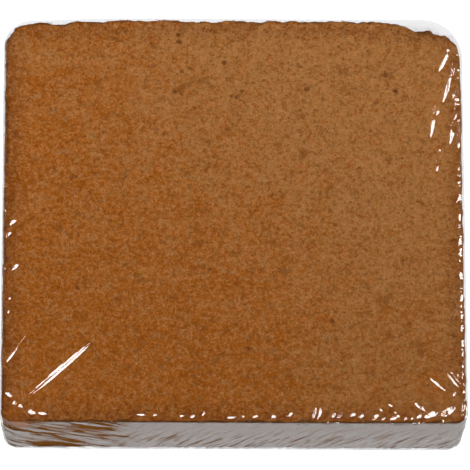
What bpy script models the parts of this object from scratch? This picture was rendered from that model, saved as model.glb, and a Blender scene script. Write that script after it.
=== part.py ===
"""A coconut coir bale: one pressed brick of coir pith, sealed in a clear shrink-wrap bag.

Metres, +Z up. The origin is at the middle of the underside, with the front face towards -Y.
Both pieces follow one rounded block: the film is its outside, and the coir lies a film's wall and
a hair's gap inside it. The coir is only ever worn inwards from there, so the two never meet.
"""

import math

import bmesh
import bpy
from mathutils import Matrix, Vector, noise

# The wrapped bale, outside the film.
BALE_LENGTH = 0.300
BALE_DEPTH = 0.270
BALE_HEIGHT = 0.085

# Rounding of the four upright corners in plan, and of the edges round the top and the underside.
FRONT_CORNER = 0.011
BACK_LEFT_CORNER = 0.018
BACK_RIGHT_CORNER = 0.028
EDGE_ROUND = 0.0055

# How far the block is out of square: the right side leans in towards the back, and the back falls
# away towards the left corner, from that distance left of the middle.
RIGHT_LEAN = 0.0024
BACK_SLUMP = 0.0022
SLUMP_START = 0.065

# The film, drawn thick enough to be a solid, and the gap that keeps it off the coir.
FILM_WALL = 0.0004
FILM_GAP = 0.0003

# The weld of the bag, a low bead at half height along the left side, the back and the right side.
SEAL_HEIGHT = BALE_HEIGHT / 2
SEAL_HALF_WIDTH = 0.0012
SEAL_RISE = 0.0010

# Vents punched through the underside, which let the air out as the bag shrinks.
VENT_RADIUS = 0.003
VENT_SIDES = 12
VENT_PIN_LENGTH = 0.001
VENT_PLACES = ((-0.095, 0.080), (0.095, -0.080))

# Wear of the coir, as depths under the rounded block: at the edges, over the faces and in the
# level ledges that the press leaves down the sides.
EDGE_BAND = 0.020
EDGE_WEAR = 0.0026
FACE_WEAR = 0.0004
LEDGE_DEPTH = 0.0007
LEDGE_PITCH = 0.0125

# How far a ledge wanders from level, and where between two ledges it starts and is at its deepest.
LEDGE_WANDER = 0.6
LEDGE_START = 0.42
LEDGE_DEEPEST = 0.18

# Lumps to the metre in each pattern of wear, and the share of the edge wear that is coarse.
COARSE_GRAIN = 55
FINE_GRAIN = 160
FACE_GRAIN = 32
LEDGE_GRAIN = 14
COARSE_SHARE = 0.35

# Corners of the coir that have crumbled away: side of X, side of Y, side of Z, reach and depth.
CRUMBLED_CORNERS = (
    (1, 1, 1, 0.062, 0.0060),
    (-1, 1, 1, 0.045, 0.0030),
    (1, -1, -1, 0.030, 0.0022),
)
CRUMBLE_LEAST = 0.7
CRUMBLE_LUMPS = 0.6

# Shallow hollows pressed or picked out of the coir's top: place, radius and depth.
HOLLOWS = (
    (-0.005, 0.105, 0.011, 0.0014),
    (0.004, 0.086, 0.007, 0.0012),
    (0.047, 0.087, 0.013, 0.0014),
    (-0.022, 0.122, 0.010, 0.0012),
    (0.037, 0.078, 0.006, 0.0010),
    (0.018, 0.121, 0.015, 0.0016),
    (-0.046, 0.057, 0.007, 0.0010),
    (-0.016, -0.033, 0.008, 0.0010),
    (0.063, -0.066, 0.009, 0.0012),
    (-0.101, -0.045, 0.012, 0.0012),
    (-0.106, 0.028, 0.012, 0.0010),
)
HOLLOW_FLOOR = 0.35
HOLLOW_RIM = 1.3

# Tight folds in the film, from one end to the other, with their width and height.
TOP_FOLDS = (
    ((-0.1285, -0.1080), (-0.0930, -0.0790), 0.0034, 0.0015),
    ((-0.1430, -0.0900), (-0.1270, -0.0660), 0.0024, 0.0011),
    ((0.1245, 0.1135), (0.1320, 0.1010), 0.0022, 0.0010),
    ((0.1250, 0.0850), (0.1320, 0.1000), 0.0024, 0.0011),
    ((0.1375, 0.1060), (0.1350, 0.0930), 0.0022, 0.0010),
    ((0.1180, 0.0560), (0.1235, 0.0750), 0.0024, 0.0011),
    ((0.1290, 0.0500), (0.1340, 0.0700), 0.0024, 0.0011),
    ((0.1370, 0.0520), (0.1400, 0.0700), 0.0020, 0.0009),
    ((0.1060, -0.0860), (0.1220, -0.1000), 0.0024, 0.0011),
    ((0.1180, -0.0810), (0.1290, -0.0960), 0.0024, 0.0011),
    ((0.1280, -0.0840), (0.1380, -0.0990), 0.0020, 0.0010),
    ((0.0960, -0.1010), (0.1080, -0.1140), 0.0024, 0.0011),
    ((0.0790, -0.1060), (0.0860, -0.1200), 0.0022, 0.0010),
    ((0.0640, -0.1080), (0.0690, -0.1210), 0.0020, 0.0010),
    ((0.0220, -0.1110), (0.0250, -0.1250), 0.0022, 0.0010),
)
FRONT_FOLDS = (
    ((-0.0300, 0.0130), (0.0180, 0.0560), 0.0030, 0.0012),
    ((-0.0060, 0.0100), (0.0420, 0.0500), 0.0030, 0.0012),
    ((0.0360, 0.0130), (0.0700, 0.0420), 0.0026, 0.0011),
    ((0.0760, 0.0110), (0.1180, 0.0400), 0.0030, 0.0012),
    ((0.1000, 0.0100), (0.1330, 0.0300), 0.0024, 0.0010),
    ((-0.1320, 0.0330), (-0.0700, 0.0240), 0.0030, 0.0012),
    ((-0.1300, 0.0480), (-0.0800, 0.0440), 0.0026, 0.0011),
    ((-0.1280, 0.0180), (-0.0900, 0.0130), 0.0026, 0.0011),
)

# How deep a fold is rooted in the film at its two ends, its sides and its middle.
END_ROOT = FILM_WALL * 0.5
SIDE_ROOT = FILM_WALL * 0.3
MIDDLE_ROOT = FILM_WALL * 0.7

# Spacing of the coir's and the film's facets: distances in from each edge, then an even step.
COIR_EDGE_LINES = (0.0012, 0.0030, 0.0060, 0.0120, 0.0190, 0.0270)
COIR_STEP = 0.0165
FILM_EDGE_LINES = (0.0018, 0.0050, 0.0110, 0.0190, 0.0280)
FILM_STEP = 0.0300
LEAST_CUT = 1e-7
FLAT_ANGLE = math.radians(0.05)
SHARP_ANGLE = math.radians(50)

# A direction belongs to a level face above the first value, and to an upright one under the second.
LEVEL_FACE = 0.99
UPRIGHT_FACE = 0.3

COIR_BROWN = (0.318, 0.107, 0.030, 1.0)
COIR_ROUGHNESS = 0.95
FILM_TINT = (0.93, 0.93, 0.94, 1.0)
FILM_ROUGHNESS = 0.08
FILM_ALPHA = 0.25


class RoundedBlock:
    """A box with its own rounding at each upright corner and one rounding for the level edges."""

    def __init__(self, inset):
        self.half = Vector((BALE_LENGTH / 2, BALE_DEPTH / 2, BALE_HEIGHT / 2)) - Vector((inset,) * 3)
        self.inset = inset
        self.edge = EDGE_ROUND - inset

    def corner_radius(self, x, y):
        """The rounding in plan of the corner on that side of the block."""
        if y < 0:
            return FRONT_CORNER - self.inset
        return (BACK_RIGHT_CORNER if x > 0 else BACK_LEFT_CORNER) - self.inset

    def place(self, point):
        """Where a point of the plain box goes on the rounded block, and which way is out there."""
        x, y, z = point
        radius = self.corner_radius(x, y)
        over = Vector((abs(x) - (self.half.x - radius), abs(y) - (self.half.y - radius)))
        side = Vector((math.copysign(1, x), math.copysign(1, y)))
        if over.x > 0 and over.y > 0:
            ring = max(over)
            outward = over.normalized()
            plan = Vector((self.half.x - radius, self.half.y - radius)) + outward * ring
            depth = radius - ring
        else:
            depth = radius - max(over)
            outward = Vector((1, 0)) if over.x >= over.y else Vector((0, 1))
            plan = Vector((abs(x), abs(y)))
        across = self.edge - depth
        up = abs(z) - (self.half.z - self.edge)
        if across <= 0:
            out = Vector((0, 0, math.copysign(1, z)))
        elif up <= 0:
            out = Vector((outward.x * side.x, outward.y * side.y, 0))
        else:
            bent = Vector((across, up)).normalized()
            plan += outward * (bent.x * self.edge - across)
            z = math.copysign(self.half.z - self.edge + bent.y * self.edge, z)
            out = Vector((outward.x * side.x * bent.x, outward.y * side.y * bent.x, math.copysign(bent.y, z)))
        return self.out_of_square(Vector((plan.x * side.x, plan.y * side.y, z))), out

    def out_of_square(self, place):
        """Leans the right side in and lets the back fall away, as the pressed block really does."""
        across, along = place.x / self.half.x, place.y / self.half.y
        lean = RIGHT_LEAN * max(across, 0.0) * (along + 1) / 2
        slump = BACK_SLUMP * max(along, 0.0) * smooth(-place.x, SLUMP_START, self.half.x)
        return place - Vector((lean, slump, 0))

    def from_edge(self, point):
        """How far a point of the plain box is from its nearest edge."""
        return sorted(h - abs(c) for h, c in zip(self.half, point))[1]


def clear_scene():
    """Removes whatever the file holds."""
    for thing in list(bpy.data.objects):
        bpy.data.objects.remove(thing, do_unlink=True)


def smooth(value, start, end):
    """0 at start, 1 at end and a soft turn between."""
    share = min(max((value - start) / (end - start), 0.0), 1.0)
    return share * share * (3 - 2 * share)


def lumps(point, grain, shift=(0, 0, 0)):
    """A lumpy pattern between 0 and 1, with that many lumps to the metre."""
    return noise.noise(point * grain + Vector(shift)) * 0.5 + 0.5


def cut_lines(half, edge_lines, step):
    """Places along one axis where a box is cut: close together near both ends, then evenly spaced."""
    near = [distance for distance in edge_lines if distance < half]
    reach = half - near[-1]
    count = max(1, round(2 * reach / step))
    middle = [-reach + 2 * reach * i / count for i in range(1, count)]
    ends = [half - distance for distance in near]
    return sorted([-place for place in ends] + middle + ends)


def cut_box(half, lines):
    """A box of those half sizes, cut all round at the lines of each axis."""
    mesh = bmesh.new()
    bmesh.ops.create_cube(mesh, size=2.0)
    bmesh.ops.scale(mesh, vec=half, verts=mesh.verts)
    for axis, places in enumerate(lines):
        normal = Vector((0, 0, 0))
        normal[axis] = 1
        for place in places:
            bmesh.ops.bisect_plane(
                mesh,
                geom=mesh.verts[:] + mesh.edges[:] + mesh.faces[:],
                dist=LEAST_CUT,
                plane_co=normal * place,
                plane_no=normal,
            )
    return mesh


def merge_flat_facets(mesh):
    """Joins the facets that lie in one plane."""
    bmesh.ops.dissolve_limit(mesh, angle_limit=FLAT_ANGLE, verts=mesh.verts, edges=mesh.edges)


def lift(mesh):
    """Raises a mesh from about the bale's middle to stand on the ground plane."""
    bmesh.ops.translate(mesh, vec=(0, 0, BALE_HEIGHT / 2), verts=mesh.verts)


def material(name, colour, roughness, alpha=1.0):
    """A plain Principled material."""
    made = bpy.data.materials.new(name)
    made.use_nodes = True
    shader = made.node_tree.nodes["Principled BSDF"]
    shader.inputs["Base Color"].default_value = colour
    shader.inputs["Roughness"].default_value = roughness
    shader.inputs["Metallic"].default_value = 0.0
    shader.inputs["Alpha"].default_value = alpha
    return made


def as_object(name, mesh, finish=None):
    """An object in the scene from an edited mesh."""
    data = bpy.data.meshes.new(name)
    mesh.to_mesh(data)
    mesh.free()
    made = bpy.data.objects.new(name, data)
    bpy.context.scene.collection.objects.link(made)
    if finish:
        data.materials.append(finish)
    return made


def helper_of(name, mesh):
    """A shape that only cuts or joins another, and isn't part of the bale."""
    helper = as_object(name, mesh)
    helper.hide_render = True
    helper.display_type = "WIRE"
    return helper


def edge_wear(block, flat, fine):
    """How much has crumbled off along the block's edges."""
    edge = 1 - smooth(block.from_edge(flat), 0.0, EDGE_BAND)
    coarse = lumps(flat, COARSE_GRAIN)
    return EDGE_WEAR * edge * (COARSE_SHARE * coarse + (1 - COARSE_SHARE) * fine)


def ledge_wear(flat):
    """The level ledges down the sides, one for each layer that was pressed."""
    wander = LEDGE_WANDER * noise.noise(flat * LEDGE_GRAIN)
    layer = flat.z / LEDGE_PITCH + wander
    return LEDGE_DEPTH * smooth(abs(layer - round(layer)), LEDGE_START, LEDGE_DEEPEST)


def corner_wear(block, flat, fine):
    """How much has crumbled off the worn corners."""
    wear = 0.0
    for side_x, side_y, side_z, reach, depth in CRUMBLED_CORNERS:
        corner = Vector((side_x * block.half.x, side_y * block.half.y, side_z * block.half.z))
        near = 1 - smooth((flat - corner).length, 0.0, reach)
        wear += depth * near * (CRUMBLE_LEAST + CRUMBLE_LUMPS * fine)
    return wear


def hollow_wear(flat):
    """The shallow hollows in the top."""
    wear = 0.0
    for x, y, radius, depth in HOLLOWS:
        away = math.hypot(flat.x - x, flat.y - y)
        wear += depth * (1 - smooth(away, radius * HOLLOW_FLOOR, radius * HOLLOW_RIM))
    return wear


def coir_wear(block, flat, out):
    """How far the coir lies under the rounded block at one point of it."""
    fine = lumps(flat, FINE_GRAIN, (7, 3, 1))
    wear = edge_wear(block, flat, fine) + corner_wear(block, flat, fine)
    if out.z > -LEVEL_FACE:
        wear += FACE_WEAR * lumps(flat, FACE_GRAIN, (2, 9, 4))
    if out.z > LEVEL_FACE:
        wear += hollow_wear(flat)
    if abs(out.z) < UPRIGHT_FACE:
        wear += ledge_wear(flat)
    return wear


def flatten_underside(mesh, block):
    """Presses the middle of the underside flat, so that the coir stands on it."""
    for vertex in mesh.verts:
        if block.half.z + vertex.co.z < FACE_WEAR:
            vertex.co.z = -block.half.z


def make_coir_block():
    """The pressed coir: crumbled along its edges, hollowed a little on top and layered down its sides."""
    block = RoundedBlock(FILM_WALL + FILM_GAP)
    mesh = cut_box(block.half, [cut_lines(half, COIR_EDGE_LINES, COIR_STEP) for half in block.half])
    for vertex in mesh.verts:
        flat = vertex.co.copy()
        place, out = block.place(flat)
        vertex.co = place - out * coir_wear(block, flat, out)
    flatten_underside(mesh, block)
    lift(mesh)
    merge_flat_facets(mesh)
    made = as_object("coir_block", mesh, material("pressed_coir", COIR_BROWN, COIR_ROUGHNESS))
    made.data.shade_smooth()
    return made


def film_lines(block):
    """The film's cuts on each axis, with three more along the weld."""
    lines = [cut_lines(half, FILM_EDGE_LINES, FILM_STEP) for half in block.half]
    weld = SEAL_HEIGHT - BALE_HEIGHT / 2
    upright = [z for z in lines[2] if abs(z - weld) > 2 * SEAL_HALF_WIDTH]
    lines[2] = sorted([*upright, weld - SEAL_HALF_WIDTH, weld, weld + SEAL_HALF_WIDTH])
    return lines


def make_film_skin():
    """The film's outer face, one closed skin with the weld standing out of it."""
    block = RoundedBlock(0.0)
    mesh = cut_box(block.half, film_lines(block))
    weld = SEAL_HEIGHT - BALE_HEIGHT / 2
    for vertex in mesh.verts:
        flat = vertex.co.copy()
        place, out = block.place(flat)
        on_weld = abs(flat.z - weld) < SEAL_HALF_WIDTH / 2 and out.y > -UPRIGHT_FACE
        vertex.co = place + out * (SEAL_RISE if on_weld else 0.0)
    merge_flat_facets(mesh)
    lift(mesh)
    return mesh


def make_vent_cutter():
    """Upright pins through the film's underside, where the vents are punched."""
    mesh = bmesh.new()
    for x, y in VENT_PLACES:
        bmesh.ops.create_cone(
            mesh,
            cap_ends=True,
            segments=VENT_SIDES,
            radius1=VENT_RADIUS,
            radius2=VENT_RADIUS,
            depth=VENT_PIN_LENGTH,
            matrix=Matrix.Translation((x, y, 0)),
        )
    return helper_of("vent_pins", mesh)


def fold(mesh, start, end, out, width, height):
    """A slender boat-shaped fold standing on the film between two points of its outer face."""
    sideways = (end - start).normalized().cross(out) * width / 2
    middle = (start + end) / 2
    tips = [mesh.verts.new(point - out * END_ROOT) for point in (start, end)]
    ring = [
        mesh.verts.new(middle + out * height),
        mesh.verts.new(middle + sideways - out * SIDE_ROOT),
        mesh.verts.new(middle - out * MIDDLE_ROOT),
        mesh.verts.new(middle - sideways - out * SIDE_ROOT),
    ]
    for i, corner in enumerate(ring):
        following = ring[(i + 1) % len(ring)]
        mesh.faces.new((tips[0], corner, following))
        mesh.faces.new((tips[1], following, corner))


def make_folds():
    """All the film's tight folds, as one helper that is joined to the film."""
    mesh = bmesh.new()
    for (x0, y0), (x1, y1), width, height in TOP_FOLDS:
        start, end = Vector((x0, y0, BALE_HEIGHT)), Vector((x1, y1, BALE_HEIGHT))
        fold(mesh, start, end, Vector((0, 0, 1)), width, height)
    front = -BALE_DEPTH / 2
    for (x0, z0), (x1, z1), width, height in FRONT_FOLDS:
        start, end = Vector((x0, front, z0)), Vector((x1, front, z1))
        fold(mesh, start, end, Vector((0, -1, 0)), width, height)
    bmesh.ops.recalc_face_normals(mesh, faces=mesh.faces)
    return helper_of("fold_shapes", mesh)


def join_or_cut(thing, name, operation, helper):
    """Adds a Boolean of the helper to an object."""
    change = thing.modifiers.new(name, "BOOLEAN")
    change.operation = operation
    change.object = helper


def make_shrink_film():
    """The clear bag: a tight skin over the rounded block, with its weld, folds and vents."""
    finish = material("clear_film", FILM_TINT, FILM_ROUGHNESS, FILM_ALPHA)
    made = as_object("shrink_film", make_film_skin(), finish)
    wall = made.modifiers.new("film_wall", "SOLIDIFY")
    wall.thickness = FILM_WALL
    wall.offset = -1.0
    wall.use_even_offset = True
    made.modifiers.new("facets", "TRIANGULATE")
    join_or_cut(made, "vents", "DIFFERENCE", make_vent_cutter())
    join_or_cut(made, "folds", "UNION", make_folds())
    made.data.set_sharp_from_angle(angle=SHARP_ANGLE)
    return made


def main():
    """Builds the bale."""
    clear_scene()
    make_coir_block()
    make_shrink_film()


main()
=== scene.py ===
"""The looks of a coconut coir bale: a brick of pressed coir pith in a clear, wrinkled shrink film.

Metres, +Z up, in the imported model's frame: the front face looks towards -Y and the underside is at z = 0.
"""

import logging
import math
from dataclasses import dataclass, field
from enum import Enum
from typing import Callable

import bmesh
import bpy
import numpy as np
from mathutils import Matrix, Vector, noise


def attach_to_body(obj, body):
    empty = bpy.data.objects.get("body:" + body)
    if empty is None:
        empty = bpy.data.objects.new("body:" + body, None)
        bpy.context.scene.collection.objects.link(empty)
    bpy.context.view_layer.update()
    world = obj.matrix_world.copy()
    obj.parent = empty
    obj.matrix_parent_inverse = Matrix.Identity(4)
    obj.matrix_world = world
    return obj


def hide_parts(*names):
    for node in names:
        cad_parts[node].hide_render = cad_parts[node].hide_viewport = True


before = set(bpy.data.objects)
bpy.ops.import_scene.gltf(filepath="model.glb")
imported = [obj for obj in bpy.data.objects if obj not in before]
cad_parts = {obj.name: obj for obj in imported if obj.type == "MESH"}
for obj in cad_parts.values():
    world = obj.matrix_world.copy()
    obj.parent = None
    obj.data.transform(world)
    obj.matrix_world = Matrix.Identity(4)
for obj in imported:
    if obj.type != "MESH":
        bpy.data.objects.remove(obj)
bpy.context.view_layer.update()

log = logging.getLogger("coir_bale")

MILLIMETRE = 0.001

# The wrapped bale, outside its film.
BALE_SIZE = (0.300, 0.270, 0.085)

# The coir's surface lies this far under the outside of the film, to leave room for loose crumbs.
COIR_INSET = 0.0004
FILM_THICKNESS = 0.0001

# How often the longest side of a surface's triangles may be halved.
MOST_SPLITS = 12

# A surface is upright as long as the upward part of its outward way is no more than this.
UPRIGHT_TO = 0.1

# A point this near to a face or a rim, in metres, lies on it.
TOUCHING = 1e-6

Pair = tuple[float, float]
Triple = tuple[float, float, float]
Colour = Triple
Paint = Colour | bpy.types.NodeSocket
Sockets = tuple[bpy.types.NodeSocket, bpy.types.NodeSocket]
SizeRule = Callable[[np.ndarray], np.ndarray]


class Side(Enum):
    """A face of the bale, by the way that it looks."""

    TOP = (0, 0, 1)
    UNDERSIDE = (0, 0, -1)
    FRONT = (0, -1, 0)

    @property
    def axis(self) -> int:
        """The axis that the face looks along."""
        return next(i for i, part in enumerate(self.value) if part)


class CreaseForm(Enum):
    """The cross-section of a crease: places across it, from 0 to 1, and heights, as shares of its width."""

    LEANING = ((0.0, 0.0), (0.76, 0.292), (1.0, 0.0))
    DOUBLE = ((0.0, 0.0), (0.42, 0.165), (0.50, 0.095), (0.88, 0.245), (1.0, 0.0))


@dataclass(frozen=True)
class Crease:
    """A crease in the top of the film, in millimetres from the middle of the top.

    It climbs slowly from the right-hand side of the way from start to end, and drops steeply on the other.
    """

    start: Pair
    end: Pair
    width: float
    form: CreaseForm = CreaseForm.LEANING


CREASES = (
    # The two long ones near the front left corner.
    Crease((-133.0, -118.4), (-90.0, -80.2), 4.2, CreaseForm.DOUBLE),
    Crease((-146.2, -95.6), (-139.0, -85.2), 2.2),
    Crease((-141.4, -88.6), (-129.0, -72.0), 1.7, CreaseForm.DOUBLE),
    # Round the front left corner.
    Crease((-147.2, -112.2), (-142.0, -117.8), 3.0),
    Crease((-142.0, -119.8), (-139.0, -122.6), 3.1),
    Crease((-138.2, -122.6), (-134.8, -124.6), 3.0),
    Crease((-132.2, -126.6), (-126.6, -129.4), 3.5),
    Crease((-125.4, -128.6), (-119.6, -129.8), 2.9),
    # Along the left edge.
    Crease((-148.6, 21.2), (-147.2, 23.2), 2.2),
    Crease((-148.4, 4.4), (-146.4, 7.6), 2.6),
    Crease((-144.8, -4.6), (-141.0, -0.6), 3.1),
    Crease((-147.2, -12.6), (-143.8, -9.0), 2.4),
    Crease((-143.0, -34.6), (-138.8, -30.0), 2.9),
    Crease((-148.4, -34.2), (-146.4, -31.6), 2.2),
    Crease((-144.8, -54.0), (-143.4, -51.8), 1.8),
    Crease((-145.4, -62.6), (-144.0, -60.4), 1.8),
    Crease((-148.6, -69.6), (-147.2, -67.4), 2.0),
    Crease((-148.8, -103.2), (-147.6, -100.6), 2.0),
    # Along the front edge.
    Crease((-62.5, -129.6), (-56.0, -130.2), 2.1),
    Crease((-52.0, -130.6), (-49.5, -129.8), 1.8),
    Crease((-35.0, -130.8), (-31.8, -130.2), 2.3),
    Crease((-27.8, -131.8), (-25.2, -129.8), 2.6),
    Crease((-20.6, -131.0), (-18.6, -127.5), 1.6),
    Crease((-5.6, -131.8), (1.6, -131.4), 2.3),
    Crease((4.8, -131.5), (6.4, -130.0), 1.8),
    Crease((12.0, -131.6), (15.3, -129.8), 2.5),
    Crease((23.8, -132.0), (26.4, -129.6), 2.9),
    Crease((34.2, -131.0), (37.5, -127.6), 2.1),
    Crease((50.0, -132.4), (52.5, -123.5), 2.3),
    Crease((53.5, -132.4), (55.8, -124.0), 2.3),
    Crease((62.4, -131.6), (65.0, -127.6), 2.3),
    Crease((66.2, -131.6), (68.8, -128.0), 2.1),
    Crease((74.2, -131.0), (77.6, -127.8), 3.0),
    Crease((80.0, -131.6), (83.2, -128.9), 2.5),
    Crease((88.6, -132.4), (92.6, -128.4), 3.0),
    Crease((94.6, -132.4), (96.0, -131.0), 1.8),
    Crease((99.6, -132.4), (106.4, -129.6), 3.7),
    Crease((108.6, -132.2), (110.4, -131.0), 2.1),
    Crease((113.0, -132.4), (115.0, -131.0), 2.1),
    Crease((116.6, -132.0), (119.8, -128.0), 2.8),
    # Near the front right corner.
    Crease((92.5, -123.0), (95.0, -127.6), 1.9),
    Crease((98.3, -120.2), (101.0, -123.6), 1.9),
    Crease((102.2, -126.3), (103.5, -128.3), 1.9),
    Crease((114.6, -119.2), (119.6, -124.9), 2.2),
    Crease((119.0, -121.6), (122.5, -127.0), 1.9),
    Crease((121.4, -131.0), (130.4, -126.6), 4.9),
    Crease((131.8, -129.4), (141.2, -123.2), 5.9),
    Crease((124.4, -103.1), (136.5, -112.8), 2.3),
    Crease((135.6, -99.4), (144.0, -110.1), 2.0),
    Crease((137.8, -98.4), (145.6, -108.3), 1.7),
    Crease((142.0, -100.7), (144.8, -103.8), 1.8),
    Crease((139.8, -115.4), (142.0, -113.0), 2.4),
    Crease((146.0, -126.2), (147.2, -119.2), 3.1),
    Crease((146.4, -130.4), (147.6, -128.4), 2.2),
    # Along the right edge.
    Crease((146.4, -95.4), (148.8, -91.0), 2.6),
    Crease((146.4, -100.6), (148.6, -97.6), 2.6),
    Crease((132.1, 32.4), (132.4, 41.6), 2.3),
    Crease((140.8, 50.4), (143.8, 68.6), 3.6),
    Crease((144.4, 67.1), (145.3, 77.3), 3.0),
    Crease((144.4, 75.8), (146.4, 87.4), 2.9),
    Crease((143.4, 81.2), (143.9, 86.6), 2.3),
    Crease((145.8, 50.0), (147.3, 66.0), 2.8),
    Crease((147.4, 37.0), (148.2, 46.0), 2.2),
    Crease((134.0, 45.6), (134.4, 47.6), 2.0),
    # Near the back right corner.
    Crease((128.1, 54.9), (131.9, 76.7), 3.1),
    Crease((132.5, 70.2), (134.2, 74.8), 2.4),
    Crease((136.5, 78.2), (142.7, 98.8), 3.1),
    Crease((142.8, 96.8), (144.1, 106.0), 3.1),
    Crease((134.1, 99.0), (141.3, 113.2), 2.9),
    Crease((139.8, 113.0), (142.2, 115.4), 3.0),
)


@dataclass(frozen=True)
class RoundedBlock:
    """A box rounded at its upright corners and along its level edges, as the whole bale is.

    A point of the plain box is called flat. Its place is where it lies on the rounded block.
    """

    inset: float
    edge_round: float = 0.0045
    front_edge_round: float = 0.0003
    front_edge_band: float = 0.030
    front_corner: float = 0.009
    back_left_corner: float = 0.018
    back_right_corner: float = 0.028
    right_lean: float = 0.0024
    back_slump: float = 0.0022
    slump_start: float = 0.065
    front_set_back: float = 0.0006
    front_lean: float = 0.0009
    lean_start: float = 0.85

    @property
    def half(self) -> np.ndarray:
        """Half of each size."""
        return np.array(BALE_SIZE) / 2 - self.inset

    def from_edge(self, flat: np.ndarray) -> np.ndarray:
        """How far each flat point is from the box's nearest edge."""
        return np.sort(self.half - np.abs(flat), axis=1)[:, 1]

    def face_mask(self, flat: np.ndarray, side: Side) -> np.ndarray:
        """Which flat points lie on that face of the box."""
        return flat @ np.array(side.value) > self.half[side.axis] - TOUCHING

    def place(self, flat: np.ndarray) -> tuple[np.ndarray, np.ndarray]:
        """Rounds the block.

        Args:
            flat: points on the surface of the plain box, one to a row.

        Returns:
            Where they lie on the rounded block, and which way is outwards there.
        """
        sides = np.where(flat < 0, -1.0, 1.0)
        x, y, z = np.abs(flat).T
        half_x, half_y, half_z = self.half
        backward = smooth(flat[:, 1] + half_y, 0.0, self.front_edge_band)
        edge = self.front_edge_round + (self.edge_round - self.front_edge_round) * backward
        back = np.where(flat[:, 0] > 0, self.back_right_corner, self.back_left_corner)
        radius = np.where(flat[:, 1] < 0, self.front_corner, back) - self.inset
        over_x, over_y = x - (half_x - radius), y - (half_y - radius)
        ring = np.maximum(over_x, over_y)
        cornered = (over_x > 0) & (over_y > 0)
        reach = np.where(cornered, np.hypot(over_x, over_y), 1.0)
        out_x = np.where(cornered, over_x / reach, over_x >= over_y)
        out_y = np.where(cornered, over_y / reach, over_x < over_y)
        plan_x = np.where(cornered, half_x - radius + out_x * ring, x)
        plan_y = np.where(cornered, half_y - radius + out_y * ring, y)
        across, up = edge - (radius - ring), z - (half_z - edge)
        turned = (across > 0) & (up > 0)
        bend = np.where(turned, np.hypot(across, up), 1.0)
        level = np.where(turned, across / bend, up <= 0)
        rise = np.where(turned, up / bend, across <= 0)
        shift = np.where(turned, level * edge - across, 0.0)
        height = np.where(turned, half_z - edge + rise * edge, z)
        place = np.stack([plan_x + out_x * shift, plan_y + out_y * shift, height], axis=1) * sides
        out = np.stack([out_x * level, out_y * level, rise], axis=1) * sides
        return self.out_of_square(place), out

    def out_of_square(self, place: np.ndarray) -> np.ndarray:
        """Leans the right side in, sets the front face back and lets the back fall away to the left."""
        across, along = place[:, 0] / self.half[0], place[:, 1] / self.half[1]
        leaning = self.right_lean * np.maximum(across, 0) * (along + 1) / 2
        leftwards = smooth(-place[:, 0], self.slump_start, self.half[0])
        slumping = self.back_slump * np.maximum(along, 0) * leftwards
        upwards = (place[:, 2] / self.half[2] + 1) / 2
        set_back = (self.front_set_back + self.front_lean * upwards) * smooth(-along, self.lean_start, 1.0)
        return place - np.stack([leaning, slumping - set_back, np.zeros(len(place))], axis=1)

    def near_rim_step(self, flat: np.ndarray, steps: Pair, band: float, grading: float) -> np.ndarray:
        """The longest side wanted for a triangle by its nearness to the box's edges.

        Args:
            flat: points on the plain box.
            steps: the longest side along the edges, in the upper half and at the foot.
            band: how far in from the edges those hold.
            grading: how much the side may grow for each metre further in.

        Returns:
            One length for each point.
        """
        low = smooth(-flat[:, 2], 0.0, self.half[2])
        further_in = np.maximum(self.from_edge(flat) - band, 0)
        return steps[0] + (steps[1] - steps[0]) * low + grading * further_in


@dataclass(frozen=True)
class TightCorner:
    """The top of the front left corner, where the film lies so tight that the coir shows as on the top.

    Leftward, forward and upward give how far from the block's middle it starts and where it is whole. Its
    edges are ragged with two kinds of lumps, each with how many there are to the metre and a shift.
    """

    leftward: Pair = (0.127, 0.137)
    forward: Pair = (0.118, 0.130)
    upward: Pair = (0.020, 0.030)
    coarse_rag: float = 0.006
    coarse_lumps: Pair = (120.0, 4.0)
    fine_rag: float = 0.004
    fine_lumps: Pair = (260.0, 6.0)

    def share(self, flat: np.ndarray) -> np.ndarray:
        """1 inside the corner, and 0 outside it."""
        coarse, fine = lumps(flat, *self.coarse_lumps), lumps(flat, *self.fine_lumps)
        ragged = self.coarse_rag * coarse + self.fine_rag * fine
        left, front, high = flat.T * [[-1], [-1], [1]] + ragged
        return smooth(left, *self.leftward) * smooth(high, *self.upward) * smooth(front, *self.forward)


def wall_share(flat: np.ndarray, out: np.ndarray, level_from: float) -> np.ndarray:
    """How far a point belongs to the walls.

    Args:
        flat: points on the plain box.
        out: which way is outwards there on the rounded block.
        level_from: the upward part of that way from which a point is on the top or the underside.

    Returns:
        1 on the walls, and 0 on the top, the underside and the tight corner.
    """
    return (1 - smooth(np.abs(out[:, 2]), UPRIGHT_TO, level_from)) * (1 - TightCorner().share(flat))


def front_share(out: np.ndarray) -> np.ndarray:
    """1 where a surface looks to the front, and 0 from square to it on."""
    return smooth(-out[:, 1], 0.0, 0.5)


def smooth(value: np.ndarray, start: float, end: float) -> np.ndarray:
    """0 at start, 1 at end and a soft turn between."""
    share = np.clip((value - start) / (end - start), 0.0, 1.0)
    return share * share * (3 - 2 * share)


def lumps(points: np.ndarray, grain: float | tuple, shift: float = 0.0) -> np.ndarray:
    """A lumpy pattern from -1 to 1.

    Args:
        points: where to read it, one point to a row.
        grain: how many lumps there are to the metre, or one number for each axis.
        shift: moves the pattern, so that two of one grain differ.

    Returns:
        One value for each point.
    """
    scaled = points * np.array(grain) + shift
    return np.array([noise.noise(point) for point in scaled.tolist()])


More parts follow.
